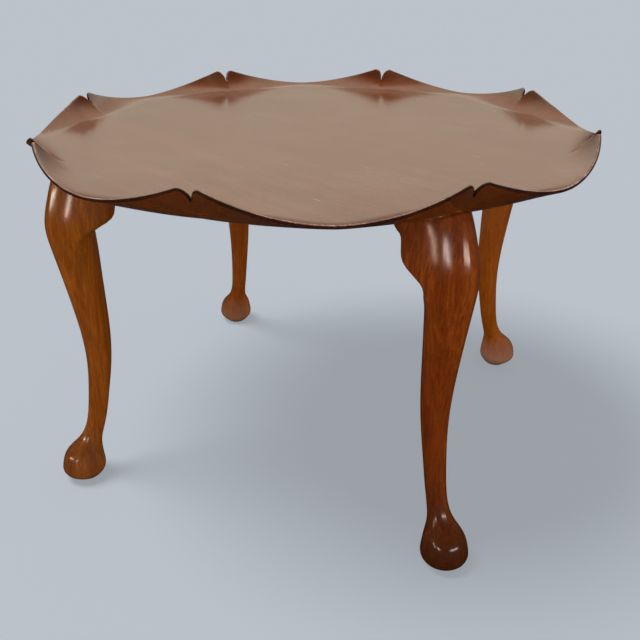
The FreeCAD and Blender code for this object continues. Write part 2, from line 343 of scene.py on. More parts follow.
# %% Outline of the leg
KNEE_PROUD = 8.2
KNEE_FRONT = POINT_RADIUS * math.sqrt(0.5) + KNEE_PROUD
SHANK_HEIGHT = 150.0
KNEE_HEIGHT = 335.5
FELT_THICKNESS = 2.5
LEG_TABLE = np.array([
    # height, front line and back line behind the knee's front, squareness
    (FELT_THICKNESS, 2.0, 34.5, 2.0),
    (8.0, -6.0, 39.5, 2.0),
    (21.5, -9.0, 41.5, 2.0),
    (36.5, -3.5, 39.5, 2.0),
    (48.5, 7.5, 38.0, 2.0),
    (61.5, 15.5, 39.5, 2.0),
    (82.5, 20.5, 43.5, 2.0),
    (110.5, 23.0, 47.5, 2.0),
    (SHANK_HEIGHT, 24.5, 52.5, 2.0),
    (189.5, 22.5, 55.0, 2.05),
    (230.5, 17.5, 55.0, 2.15),
    (270.5, 11.5, 54.5, 2.25),
    (305.5, 6.0, 54.0, 2.35),
    (KNEE_HEIGHT, 3.5, 52.5, 2.45),
    (365.5, 9.0, 50.5, 2.6),
    (395.0, 18.2, 48.5, 2.8),
    (404.5, 22.8, 48.0, 2.8),
])


def bend_through(knots, values, places):
    gaps = np.diff(knots)
    slopes = np.diff(values) / gaps
    system = np.eye(len(knots))
    change = np.zeros(len(knots))
    for row in range(1, len(knots) - 1):
        system[row, row - 1:row + 2] = [gaps[row - 1], 2 * (gaps[row - 1] + gaps[row]), gaps[row]]
        change[row] = 6 * (slopes[row] - slopes[row - 1])
    bend = np.linalg.solve(system, change)
    piece = np.clip(np.searchsorted(knots, places) - 1, 0, len(gaps) - 1)
    after = places - knots[piece]
    before = knots[piece + 1] - places
    gap = gaps[piece]
    return (bend[piece] * before ** 3 / (6 * gap) + bend[piece + 1] * after ** 3 / (6 * gap)
            + (values[piece] / gap - bend[piece] * gap / 6) * before
            + (values[piece + 1] / gap - bend[piece + 1] * gap / 6) * after)


def leg_lines(height):
    return [bend_through(LEG_TABLE[:, 0], LEG_TABLE[:, column], height) for column in (1, 2, 3)]


front, back, squareness = leg_lines(np.array([SHANK_HEIGHT, KNEE_HEIGHT]))
print("leg width at the shank and knee:", np.round(back - front, 1))

# %% [markdown]
# ## The ears
# Each ear is a slab 22 mm thick whose end follows a small ogee: a flare under the top, a straight
# drop and a long sweep back into the leg. Its face bows back from the knee to its end, so the knee
# and both ears read as one round shoulder. Slab and leg are joined with a soft minimum of their two
# distances, which fills the corner between them with a fillet, as a carver's gouge leaves it. The
# same fillet would swell the face of the knee, where slab and leg run side by side, so it is wide
# only at the foot of the ear and fades out upwards and towards the knee.

# %% Outline of an ear
EAR_TABLE = np.array([
    # height, reach past the back line, how far the slab has sunk into the leg
    (252.5, -9.0, 18.0),
    (282.5, -5.0, 11.0),
    (306.5, -1.0, 5.0),
    (316.5, 0.5, 3.0),
    (322.5, 2.5, 1.5),
    (327.0, 6.0, 0.8),
    (330.5, 10.0, 0.3),
    (334.5, 15.5, 0.0),
    (337.5, 20.5, 0.0),
    (342.0, 25.5, 0.0),
    (346.5, 28.0, 0.0),
    (352.0, 29.0, 0.0),
    (359.5, 30.0, 0.0),
    (364.5, 31.0, 0.0),
    (368.0, 33.5, 0.0),
    (370.5, 38.0, 0.0),
    (373.5, 41.0, 0.0),
    (378.5, 43.5, 0.0),
    (385.5, 45.0, 0.0),
    (392.5, 45.5, 0.0),
    (402.5, 45.5, 0.0),
])
print("an ear reaches", EAR_TABLE[:, 1].max(), "mm past the leg's back line")

# %% Distance to the leg and its ears
EAR_THICKNESS = 22.0
EAR_ROUNDING = 6.0
EAR_FILLET = 13.0
FACE_FILLET = 0.1
FILLET_FROM = 310.0
FILLET_TO = 346.0
EAR_SWEEP = 18.0
EAR_SWEEP_SPAN = 52.0
EAR_SWEEP_LIMIT = 1.2


def soft_union(one, other, width):
    near = np.maximum(width - np.abs(one - other), 0) / width
    return np.minimum(one, other) - near * near * width / 4


def slab_distance(along, across, low, high, face):
    bowed = np.clip((high - along) / EAR_SWEEP_SPAN, 0, EAR_SWEEP_LIMIT) ** 2
    across = across + bowed * EAR_SWEEP
    middle = (low + high) / 2
    half_along = np.abs(along - middle) - np.maximum((high - low) / 2 - EAR_ROUNDING, 0)
    half_across = np.abs(across - (face - EAR_THICKNESS / 2)) - (EAR_THICKNESS / 2 - EAR_ROUNDING)
    outside = np.hypot(np.maximum(half_along, 0), np.maximum(half_across, 0))
    return outside + np.minimum(np.maximum(half_along, half_across), 0) - EAR_ROUNDING


def fillet_width(inward, height):
    wide = np.interp(height, [FILLET_FROM, FILLET_TO], [EAR_FILLET, FACE_FILLET])
    return FACE_FILLET + (wide - FACE_FILLET) * np.clip(inward, 0, 1) ** 2


def leg_distance(x, y, height):
    front, back, squareness = leg_lines(height)
    half = (back - front) / 2
    centre = KNEE_FRONT - (back + front) / 2
    power = np.abs(x - centre) ** squareness + np.abs(y - centre) ** squareness
    post = power ** (1 / squareness) - half
    reach = np.interp(height, EAR_TABLE[:, 0], EAR_TABLE[:, 1])
    sunk = np.interp(height, EAR_TABLE[:, 0], EAR_TABLE[:, 2])
    face = KNEE_FRONT - front
    low = KNEE_FRONT - back - reach
    ear_one = slab_distance(x, y, low, centre, face) + sunk
    ear_two = slab_distance(y, x, low, centre, face) + sunk
    fillet_one = fillet_width((centre - x) / half, height)
    fillet_two = fillet_width((centre - y) / half, height)
    return soft_union(soft_union(post, ear_one, fillet_one), ear_two, fillet_two)


knee_middle = KNEE_FRONT - (front[1] + back[1]) / 2
depth = leg_distance(knee_middle, knee_middle, KNEE_HEIGHT)
print("distance at the middle of the knee:", round(float(depth), 1), "mm")

# %% [markdown]
# ## Skin of the leg
# From a line inside the leg, rays go out all round at each height, and the surface is where the
# distance turns from inside to outside. Halving the step thirty times finds it closely. The top
# of the leg is scribed to the belly of the dish, so the last rings stop at the underside.

# %% Rings of the leg, scribed to the dish
RAY_LENGTH = 100.0
HALVINGS = 30
SCRIBE_FROM = 370.0
SCRIBE_ROWS = 14
SCRIBE_TURNS = 6
# share of the leg's width by which the rays start in front of its middle
RAY_FORWARD = 0.125
# degrees from, to and between the rays, which are closer together over the ears
RAY_FANS = [(-60.0, 150.0, 3.0), (150.0, 200.0, 1.0), (200.0, 250.0, 2.5), (250.0, 300.0, 1.0)]
RAY_ANGLES = np.radians(np.concatenate([np.arange(*fan) for fan in RAY_FANS]))
# heights from, to and between the rings, which are closer together where the ears begin
RING_STEPS = [(FELT_THICKNESS, 60.0, 2.0), (60.0, 250.0, 4.0), (250.0, 308.0, 2.0),
              (308.0, 346.0, 0.6), (346.0, SCRIBE_FROM, 2.0)]


def leg_surface(height):
    front, back = leg_lines(height)[:2]
    start = KNEE_FRONT - (back + front) / 2 + (back - front) * RAY_FORWARD
    along_x = np.cos(RAY_ANGLES)
    along_y = np.sin(RAY_ANGLES)
    low = np.zeros_like(height)
    high = np.full_like(height, RAY_LENGTH)
    for _ in range(HALVINGS):
        middle = (low + high) / 2
        inside = leg_distance(start + middle * along_x, start + middle * along_y, height) < 0
        low = np.where(inside, middle, low)
        high = np.where(inside, high, middle)
    return start + low * along_x, start + low * along_y


def underside_at(x, y):
    out = np.hypot(x, y)
    angle = np.arctan2(y, x) / HALF_LOBE
    turn = np.mod(angle, 2) - 1
    heights = []
    for distance, part in zip(out, turn):
        belly = rim_section(part)[1]
        heights.append(np.interp(distance, belly[::-1, 0], belly[::-1, 1]))
    return np.array(heights)


def leg_rings():
    lower = np.concatenate([np.arange(*steps) for steps in RING_STEPS])
    end = np.full(len(RAY_ANGLES), UNDERSIDE_HEIGHT)
    for _ in range(SCRIBE_TURNS):
        end = underside_at(*leg_surface(end))
    rings = []
    for height in lower:
        level = np.full(len(RAY_ANGLES), height)
        rings.append(np.stack([*leg_surface(level), level], axis=-1))
    for step in range(SCRIBE_ROWS + 1):
        level = SCRIBE_FROM + (end - SCRIBE_FROM) * step / SCRIBE_ROWS
        rings.append(np.stack([*leg_surface(level), level], axis=-1))
    return np.array(rings)


leg_and_ears = new_mesh("leg_and_ears", *skin_over(leg_rings()))
print("leg with ears:", len(leg_and_ears.vertices), "points")

# %% [markdown]
# ## Leg and knee blocks apart
# The carved form is now sawn apart along two leaning planes just behind the leg's back line, which
# gives the leg and its two knee blocks as closed pieces. Cut meshes shade with a crease at the cut,
# so every point keeps the normal of the uncut form, and only the sawn faces get normals of their
# own. The leg under the right back corner is made first, and the others are its mirror images.

# %% Saw the ears off
GLUE_SET_BACK = 54.5
GLUE_TOP = KNEE_FRONT - GLUE_SET_BACK
# the saw line leans 9 mm in a height of 215 mm
GLUE_LEAN = 9.0 / 215.0


def sawn(mesh, name, cuts):
    shape = bmesh.new()
    shape.from_mesh(mesh)
    flow = shape.verts.layers.float_vector.new("flow")
    cap = shape.faces.layers.int.new("cap")
    for vert in shape.verts:
        vert[flow] = vert.normal
    for axis, keep_outer in cuts:
        normal = Vector((0, 0, -GLUE_LEAN))
        normal[axis] = 1
        point = Vector((0, 0, UNDERSIDE_HEIGHT * MM))
        point[axis] = GLUE_TOP * MM
        everything = shape.verts[:] + shape.edges[:] + shape.faces[:]
        bmesh.ops.bisect_plane(shape, geom=everything, plane_co=point, plane_no=normal,
                               clear_inner=keep_outer, clear_outer=not keep_outer)
        rim = [edge for edge in shape.edges if edge.is_boundary]
        for face in bmesh.ops.holes_fill(shape, edges=rim, sides=0)["faces"]:
            face[cap] = 1
    result = bpy.data.meshes.new(name)
    shape.to_mesh(result)
    shape.free()
    return result


leg_alone = sawn(leg_and_ears, "leg_alone", [(0, True), (1, True)])
ear_along_x = sawn(leg_and_ears, "ear_along_x", [(0, False)])
ear_along_y = sawn(leg_and_ears, "ear_along_y", [(1, False)])
print("points of the leg and of an ear:", len(leg_alone.vertices), len(ear_along_x.vertices))

# %% Place all four legs
CORNERS = {"front_left": (-1, -1), "front_right": (1, -1), "back_left": (-1, 1), "back_right": (1, 1)}


def mirrored(mesh, name, x_side, y_side):
    copy = mesh.copy()
    copy.name = name
    copy.transform(Matrix.Diagonal((x_side, y_side, 1, 1)))
    if x_side * y_side < 0:
        copy.flip_normals()
    flow = [Vector((value.vector.x * x_side, value.vector.y * y_side, value.vector.z)).normalized()
            for value in copy.attributes["flow"].data]
    capped = [value.value for value in copy.attributes["cap"].data]
    normals = [Vector()] * len(copy.loops)
    for polygon in copy.polygons:
        for loop, vertex in zip(polygon.loop_indices, polygon.vertices):
            normals[loop] = polygon.normal if capped[polygon.index] else flow[vertex]
    copy.normals_split_custom_set(normals)
    for layer in ("flow", "cap"):
        copy.attributes.remove(copy.attributes[layer])
    return copy


legs = []
blocks = []
for corner, sides in CORNERS.items():
    end_name = corner.split("_")[0]
    leg_node = "leg_" + corner
    legs.append(add_piece(mirrored(leg_alone, leg_node, *sides), "mahogany_leg", leg_node))
    for source, which in ((ear_along_x, end_name), (ear_along_y, "side")):
        block_node = "knee_block_" + corner + "_" + which
        blocks.append(add_piece(mirrored(source, block_node, *sides), "mahogany_leg", block_node))
print("legs:", len(legs), "knee blocks:", len(blocks))

# %% [markdown]
# ## Felt pads
# A disc of pressed felt is glued under each ball foot. It is punched from a sheet, so its edge is
# square but soft, and the table's weight has pressed it out a little. A short profile is turned
# round the middle of the foot.

# %% Make the felt pads
FOOT_SET_BACK = 18.25
FOOT_CENTRE = KNEE_FRONT - FOOT_SET_BACK
# radius and height
PAD_PROFILE = [(3.0, 0.0), (8.0, 0.0), (12.8, 0.0), (13.7, 0.25), (14.1, 0.8), (14.2, 1.4),
               (14.0, 2.0), (13.5, 2.4), (12.7, 2.5), (8.0, 2.5), (3.0, 2.5)]
PAD_POINTS = 48


def pad_rings(x_side, y_side):
    angles = np.linspace(0, 2 * math.pi, PAD_POINTS, endpoint=False)
    rings = []
    for radius, height in PAD_PROFILE:
        rings.append(np.stack([x_side * FOOT_CENTRE + radius * np.cos(angles),
                               y_side * FOOT_CENTRE + radius * np.sin(angles),
                               np.full(PAD_POINTS, height)], axis=-1))
    return np.array(rings)


pads = []
for corner, sides in CORNERS.items():
    pad_node = "felt_pad_" + corner
    pads.append(add_piece(new_mesh(pad_node, *skin_over(pad_rings(*sides))), "felt", pad_node))
print("felt pads:", len(pads))

# %% [markdown]
# ## Colours and nodes
# Colours are written as they are read off a screen, as sRGB hex values, and one function turns them
# to the linear values that the renderer works with. A second small function adds a node, sets its
# inputs and links what is handed to it, which keeps each material short enough to read.

# %% Colour and node helpers


def linear(hex_colour):
    parts = [int(hex_colour[place:place + 2], 16) / 255 for place in (1, 3, 5)]
    curved = [part / 12.92 if part <= 0.04045 else ((part + 0.055) / 1.055) ** 2.4 for part in parts]
    return (*curved, 1.0)


def add_node(tree, kind, settings=None, **inputs):
    node = tree.nodes.new(kind)
    for name, value in (settings or {}).items():
        setattr(node, name, value)
    for name, value in inputs.items():
        # an input goes by its name, or by its number where several share one
        by_number = name[0] == "i" and name[1:].isdigit()
        socket = node.inputs[int(name[1:]) if by_number else name.replace("_", " ")]
        if isinstance(value, bpy.types.NodeSocket):
            tree.links.new(value, socket)
        else:
            socket.default_value = value
    return node


def new_material(name):
    material = bpy.data.materials.new(name)
    material.use_nodes = True
    material.node_tree.nodes.clear()
    return material, material.node_tree


print("white is", [round(v, 3) for v in linear("#ffffff")])

# %% [markdown]
# ## Polished mahogany
# Mahogany is a red-brown wood with long soft stripes, fine streaks and short dark pores, all
# stretched along the grain. Here it is under a shellac polish: the wood shows through warm and
# dark, and the polish on top reflects like a thin coat of varnish. The stripes, streaks and pores
# are three noises in coordinates that are squeezed across the grain. The pores are really about
# 0.2 mm wide and are drawn near 0.8 mm so that they show. One function makes every finish, because
# each part has its own marks of age and its own painted light. A cloudy dull film, which also
# paints patches of sheen, and a few scratches lie on the dish, and painted shade darkens its points.
# Its outside is darker too, as painted shade, and the crest of its edge carries a thin painted
# highlight, with a line of painted shade just outside it. Each leg has its own tint, which is partly
# its stain and partly painted light and shade, and the feet change colour towards the floor. A
# scratch is about 0.3 mm wide and is drawn near 2 mm so that it shows.

# %% Grain that is longer than it is wide
# length along the grain and width across it, in millimetres
STRIPE_SIZE = (420.0, 17.0)
STREAK_SIZE = (60.0, 2.4)
PORE_SIZE = (7.0, 0.8)
SCRATCH_SIZE = (24.0, 2.0)
MM_IN_METRE = 1000.0


def grain_noise(tree, place, size, detail):
    length, width = size
    scale = (MM_IN_METRE / length, MM_IN_METRE / width, MM_IN_METRE / width)
    stretched = add_node(tree, "ShaderNodeMapping", Vector=place, Scale=scale)
    return add_node(tree, "ShaderNodeTexNoise", Vector=stretched.outputs["Vector"], Scale=1.0,
                    Detail=detail).outputs["Fac"]


def mahogany_grain(tree, drift, dark, middle, light, pore_depth):
    stripe = grain_noise(tree, drift, STRIPE_SIZE, 3.0)
    streak = grain_noise(tree, drift, STREAK_SIZE, 4.0)
    pore = grain_noise(tree, drift, PORE_SIZE, 1.0)
    tone = add_node(tree, "ShaderNodeMix", {"data_type": "FLOAT"}, Factor=0.5, i2=stripe, i3=streak)
    colours = add_node(tree, "ShaderNodeValToRGB", Fac=tone.outputs["Result"])
    ramp = colours.color_ramp
    ramp.elements[0].position = 0.33
    ramp.elements[0].color = linear(dark)
    ramp.elements[1].position = 0.67
    ramp.elements[1].color = linear(light)
    ramp.elements.new(0.5).color = linear(middle)
    pore_mask = add_node(tree, "ShaderNodeMapRange", Value=pore, From_Min=0.56, From_Max=0.72,
                         To_Max=pore_depth)
    darkened = add_node(tree, "ShaderNodeMix", {"data_type": "RGBA", "blend_type": "MULTIPLY"},
                        Factor=pore_mask.outputs["Result"], i6=colours.outputs["Color"],
                        i7=linear("#8a7466"))
    return darkened.outputs["Result"], streak, pore


print("pores are drawn", PORE_SIZE[1], "mm wide")

# %% What age and painted light add to the wood
CLOUD_MM = 90.9
FILM_AND_SHEEN_COLOUR = "#a39078"
SCRATCH_COLOUR = "#d8c8b4"
NO_TINT = ("#000000", 0.0, 0.0, 1.0)


def age_and_painted_light(tree, colour, spot, place, drift, tint, film_and_sheen_share, scratch_share):
    tint_colour, tint_share, tint_starts, tint_full = tint
    height = add_node(tree, "ShaderNodeSeparateXYZ", Vector=spot).outputs["Z"]
    # a colour by height: painted shade on the points of the dish, and a colour change towards the floor on
    # the feet
    tinted = add_node(tree, "ShaderNodeMapRange", Value=height, From_Min=tint_starts, From_Max=tint_full,
                      To_Max=tint_share)
    # a cloudy dull film, which also paints patches of sheen
    cloud = add_node(tree, "ShaderNodeTexNoise", Vector=place, Scale=MM_IN_METRE / CLOUD_MM, Detail=5.0,
                     Roughness=0.6)
    film_and_sheen = add_node(tree, "ShaderNodeMapRange", Value=cloud.outputs["Fac"], From_Min=0.46, From_Max=0.66,
                    To_Max=film_and_sheen_share)
    nick = grain_noise(tree, drift, SCRATCH_SIZE, 0.0)
    scratch = add_node(tree, "ShaderNodeMapRange", Value=nick, From_Min=0.87, From_Max=0.89,
                       To_Max=scratch_share)
    for mask, added in ((tinted, tint_colour), (film_and_sheen, FILM_AND_SHEEN_COLOUR), (scratch, SCRATCH_COLOUR)):
        mixed = add_node(tree, "ShaderNodeMix", {"data_type": "RGBA"}, Factor=mask.outputs["Result"],
                         i6=colour, i7=linear(added))
        colour = mixed.outputs["Result"]
    return colour


print("film_and_sheen", FILM_AND_SHEEN_COLOUR, "scratches", SCRATCH_COLOUR)

# %% Mahogany under its polish
POLISH_IOR = 1.5
# length over which the grain wanders and how far, size of the rubbed patches, depth of the relief
WANDER_MM = 166.7
WANDER_REACH_MM = 12.0
RUBBED_MM = 111.1
STREAK_RELIEF_MM = 0.3
PORE_RELIEF_MM = 0.2


def polished_mahogany(name, turn, shift, dark, middle, light, polish_roughness, pore_depth,
                      tint=NO_TINT, polish_grain=0.0, film_and_sheen_share=0.0, scratch_share=0.0):
    material, tree = new_material(name)
    spot = add_node(tree, "ShaderNodeTexCoord").outputs["Object"]
    place = add_node(tree, "ShaderNodeMapping", Vector=spot, Location=shift,
                     Rotation=turn).outputs["Vector"]
    wander = add_node(tree, "ShaderNodeTexNoise", Vector=place, Scale=MM_IN_METRE / WANDER_MM, Detail=2.0)
    reach = WANDER_REACH_MM * MM
    drift = add_node(tree, "ShaderNodeVectorMath", {"operation": "MULTIPLY_ADD"},
                     i0=wander.outputs["Color"], i1=(0.0, reach, reach), i2=place).outputs["Vector"]
    grain, streak, pore = mahogany_grain(tree, drift, dark, middle, light, pore_depth)
    colour = age_and_painted_light(tree, grain, spot, place, drift, tint, film_and_sheen_share, scratch_share)
    rub = add_node(tree, "ShaderNodeTexNoise", Vector=place, Scale=MM_IN_METRE / RUBBED_MM, Detail=3.0)
    roughness = add_node(tree, "ShaderNodeMapRange", Value=rub.outputs["Fac"], From_Min=0.3, From_Max=0.7,
                         To_Min=0.4, To_Max=0.52)
    bump = add_node(tree, "ShaderNodeBump", Strength=0.1, Distance=STREAK_RELIEF_MM * MM, Height=streak)
    sunken = add_node(tree, "ShaderNodeBump", Strength=polish_grain, Distance=PORE_RELIEF_MM * MM,
                      Height=pore)
    wood = add_node(tree, "ShaderNodeBsdfPrincipled", Base_Color=colour,
                    Roughness=roughness.outputs["Result"], Normal=bump.outputs["Normal"], IOR=1.5,
                    Specular_IOR_Level=0.0, Coat_Weight=1.0, Coat_Roughness=polish_roughness,
                    Coat_IOR=POLISH_IOR, Coat_Normal=sunken.outputs["Normal"])
    add_node(tree, "ShaderNodeOutputMaterial", Surface=wood.outputs["BSDF"])
    return material


print("polish of IOR", POLISH_IOR)

# %% Finishes of the dish
LEVEL_GRAIN = (0.0, 0.0, math.radians(27.0))
AT_START = (0.0, 0.0, 0.0)
# rows of the edge with a painted highlight on the crest
HIGHLIGHT_ROWS = 2
# rows just outside the crest with painted shade
SHADE_ROWS = 5
# painted shade on the points: colour, share, and the heights in metres where it starts and is full
POINT_PAINTED_SHADE = ("#401c08", 0.75, 0.409, 0.424)
# red-brown wood under a dulled shine
dish_wood = polished_mahogany("polished mahogany dish", LEVEL_GRAIN, AT_START,
                              "#6a3418", "#763b1b", "#824320", polish_roughness=0.16, pore_depth=0.3,
                              tint=POINT_PAINTED_SHADE, polish_grain=0.12, film_and_sheen_share=0.1, scratch_share=0.4)
# a clearer shine, because nothing is set down on it, and a deeper brown that paints the shade on the
# outside and underside
rim_wood_painted_shade = polished_mahogany("polished mahogany rim outside with painted shade", LEVEL_GRAIN, AT_START,
                             "#4a2008", "#54260a", "#5f2d0d", polish_roughness=0.11, pore_depth=0.25)
# a thin painted highlight along the crest of the edge
painted_highlight_wood = polished_mahogany("mahogany edge with a painted highlight", LEVEL_GRAIN, AT_START,
                              "#4a2210", "#83584a", "#c4a092", polish_roughness=0.2, pore_depth=0.1)
# a nearly black line of painted shade just outside the crest
painted_shade_wood = polished_mahogany("mahogany under the edge with painted shade", LEVEL_GRAIN, AT_START,
                               "#221006", "#2e1509", "#3c1c0c", polish_roughness=0.14, pore_depth=0.2)
dish_woods = [dish_wood, rim_wood_painted_shade, painted_highlight_wood, painted_shade_wood]
for wood in dish_woods:
    dish.data.materials.append(wood)
columns_round = 2 * LOBE_COUNT * (len(half_lobe) - 1)
rows_inside = len(FLAT_SHARES) + COVE_STEPS
highlight_from = rows_inside + 1
shade_from = highlight_from + HIGHLIGHT_ROWS
face_rows = np.arange(len(dish.data.polygons)) // columns_round
# the two end fans come last, and the first of them closes the flat inside the dish
finish_index = ((face_rows >= rows_inside) & (face_rows != DISH_ROWS - 1)).astype(np.int32)
# rows of the painted highlight on the crest
highlight_line = (face_rows >= highlight_from) & (face_rows < shade_from)
# rows of the painted shade just outside the crest
shade_line = (face_rows >= shade_from) & (face_rows < shade_from + SHADE_ROWS)
finish_index[highlight_line] = dish_woods.index(painted_highlight_wood)
finish_index[shade_line] = dish_woods.index(painted_shade_wood)
dish.data.polygons.foreach_set("material_index", finish_index)
print("faces of each finish of the dish:", np.bincount(finish_index).tolist())

# %% Finishes of the legs
UPRIGHT = (0.0, math.radians(90.0), 0.0)
ANOTHER_BOARD = (0.7, 0.4, 0.2)
LEG_POLISH = 0.17
LEG_PORES = 0.4
# dark, middle and light of each leg, which differ partly in stain and partly as painted light and shade
# for how each leg is lit
LEG_TONES_AND_PAINTED_LIGHT = {
    "front_left": ("#643104", "#7d3e06", "#98500f"),
    "front_right": ("#571f02", "#6f2e03", "#8a420a"),
    "back_left": ("#642c05", "#7a3907", "#90480e"),
    "back_right": ("#743507", "#8c440b", "#a25414"),
}
# how each foot changes colour towards the floor: colour, share, and the heights in metres where it
# starts and where it is full
FOOT_TINTS = {
    "front_left": ("#5a3c2a", 0.25, 0.08, 0.015),
    "front_right": ("#2a1508", 0.8, 0.13, 0.015),
    "back_left": ("#9a806a", 0.25, 0.05, 0.015),
    "back_right": ("#a88a7a", 0.4, 0.05, 0.015),
}
# warm orange-brown with upright grain and a soft gloss, and the blocks have grain of their own
for number, corner in enumerate(CORNERS):
    leg_wood = polished_mahogany("polished mahogany leg " + corner, UPRIGHT, AT_START,
                                 *LEG_TONES_AND_PAINTED_LIGHT[corner], LEG_POLISH, LEG_PORES, FOOT_TINTS[corner])
    legs[number].data.materials.append(leg_wood)
    block_wood = polished_mahogany("polished mahogany knee blocks " + corner, UPRIGHT, ANOTHER_BOARD,
                                   *LEG_TONES_AND_PAINTED_LIGHT[corner], LEG_POLISH, LEG_PORES)
    for block in blocks[2 * number:2 * number + 2]:
        block.data.materials.append(block_wood)
print("finishes of legs and knee blocks:", 2 * len(CORNERS))

# %% [markdown]
# ## The woods, steel and felt underneath
# The crossed bearers are planed from a plainer wood and only thinly stained, so they are matt, and
# their grain runs along each diagonal. The dowels are turned beech, pale and close-grained. The
# screws are plain steel that has dulled. The felt under the feet is pressed wool, a mat of short
# fibres with no shine. A fibre is about 0.03 mm thick and is drawn near 0.5 mm so that it shows.

# %% Plain woods
# length along the grain and width across it, in millimetres
BAND_SIZE = (260.0, 6.0)
FLECK_SIZE = (12.0, 0.9)
BAND_RELIEF_MM = 0.4


def planed_wood(name, turn, dark, light, roughness):
    material, tree = new_material(name)
    spot = add_node(tree, "ShaderNodeTexCoord").outputs["Object"]
    place = add_node(tree, "ShaderNodeMapping", Vector=spot, Rotation=turn).outputs["Vector"]
    band = grain_noise(tree, place, BAND_SIZE, 3.0)
    fleck = grain_noise(tree, place, FLECK_SIZE, 1.0)
    tone = add_node(tree, "ShaderNodeMix", {"data_type": "FLOAT"}, Factor=0.4, i2=band, i3=fleck)
    colours = add_node(tree, "ShaderNodeValToRGB", Fac=tone.outputs["Result"])
    ramp = colours.color_ramp
    ramp.elements[0].position = 0.35
    ramp.elements[0].color = linear(dark)
    ramp.elements[1].position = 0.65
    ramp.elements[1].color = linear(light)
    bump = add_node(tree, "ShaderNodeBump", Strength=0.2, Distance=BAND_RELIEF_MM * MM,
                    Height=tone.outputs["Result"])
    wood = add_node(tree, "ShaderNodeBsdfPrincipled", Base_Color=colours.outputs["Color"],
                    Roughness=roughness, IOR=1.5, Normal=bump.outputs["Normal"])
    add_node(tree, "ShaderNodeOutputMaterial", Surface=wood.outputs["BSDF"])
    return material


def dress(node, material):
    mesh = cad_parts[node].data
    mesh.materials.clear()
    mesh.materials.append(material)


DIAGONAL = math.radians(45.0)
PLANED = 0.62
TURNED = 0.55
# matt brown with long bands that follow each bearer
dress("bearer_front_left_to_back_right",
      planed_wood("planed stained wood rising right", (0, 0, -DIAGONAL), "#5b3a22", "#7d5634", PLANED))
dress("bearer_front_right_to_back_left",
      planed_wood("planed stained wood rising left", (0, 0, DIAGONAL), "#57371f", "#785231", PLANED))
# pale and plain, a little smoother than the bearers
dress("leg_dowels", planed_wood("turned beech", UPRIGHT, "#b08a5c", "#c9a678", TURNED))
print("bearers and dowels dressed")

# %% Dulled steel and pressed felt
STAIN_MM = 2.5
FIBRE_MM = 0.5


def dulled_steel(name):
    material, tree = new_material(name)
    spot = add_node(tree, "ShaderNodeTexCoord").outputs["Object"]
    stain = add_node(tree, "ShaderNodeTexNoise", Vector=spot, Scale=MM_IN_METRE / STAIN_MM, Detail=3.0)
    colour = add_node(tree, "ShaderNodeMix", {"data_type": "RGBA"}, Factor=stain.outputs["Fac"],
                      i6=linear("#8c8882"), i7=linear("#a9a7a3"))
    roughness = add_node(tree, "ShaderNodeMapRange", Value=stain.outputs["Fac"], To_Min=0.5, To_Max=0.3)
    steel = add_node(tree, "ShaderNodeBsdfPrincipled", Base_Color=colour.outputs["Result"], Metallic=1.0,
                     Roughness=roughness.outputs["Result"])
    add_node(tree, "ShaderNodeOutputMaterial", Surface=steel.outputs["BSDF"])
    return material


def pressed_felt(name):
    material, tree = new_material(name)
    spot = add_node(tree, "ShaderNodeTexCoord").outputs["Object"]
    fibre = add_node(tree, "ShaderNodeTexNoise", Vector=spot, Scale=MM_IN_METRE / FIBRE_MM, Detail=4.0,
                     Distortion=1.5)
    colour = add_node(tree, "ShaderNodeMix", {"data_type": "RGBA"}, Factor=fibre.outputs["Fac"],
                      i6=linear("#3a2a20"), i7=linear("#5d4736"))
    bump = add_node(tree, "ShaderNodeBump", Strength=0.6, Distance=FIBRE_MM * MM,
                    Height=fibre.outputs["Fac"])
    felt = add_node(tree, "ShaderNodeBsdfPrincipled", Base_Color=colour.outputs["Result"], Roughness=0.95,
                    IOR=1.5, Sheen_Weight=0.3, Normal=bump.outputs["Normal"])
    add_node(tree, "ShaderNodeOutputMaterial", Surface=felt.outputs["BSDF"])
    return material


# grey metal with a broken, cloudy shine
dress("bearer_screws", dulled_steel("dulled steel"))
# dark brown fuzz without any shine
felt = pressed_felt("pressed wool felt")
for pad in pads:
    pad.data.materials.append(felt)
print("screws and felt dressed")

# %% [markdown]
# ## The floor and the light
# The floor is a plain pale blue-grey sheet that runs far enough back to fill the picture. Part of
# what the camera sees of it is an even level of its own, so the background stays one tone, and a
# broad soft key from the left lays the table's shadow on the rest. To all other rays it is plain
# paper, and dark to the polish. A second key from above lights the dish. Each front leg has its
# own narrow windows, which draw the streaks on its knee, and a broad fill for the wood. Light linking
# keeps every lamp to the pieces that it is meant for, as a photographer does with flags.

# %% Floor
FLOOR_HALF = 15.0
FLOOR_SEEN = "#bcc3cb"
FLOOR_PAPER = "#7d8287"
FLOOR_SHADED = "#56595d"
FLOOR_MIRRORED = "#1a1a1a"
FLOOR_EVEN = 0.55


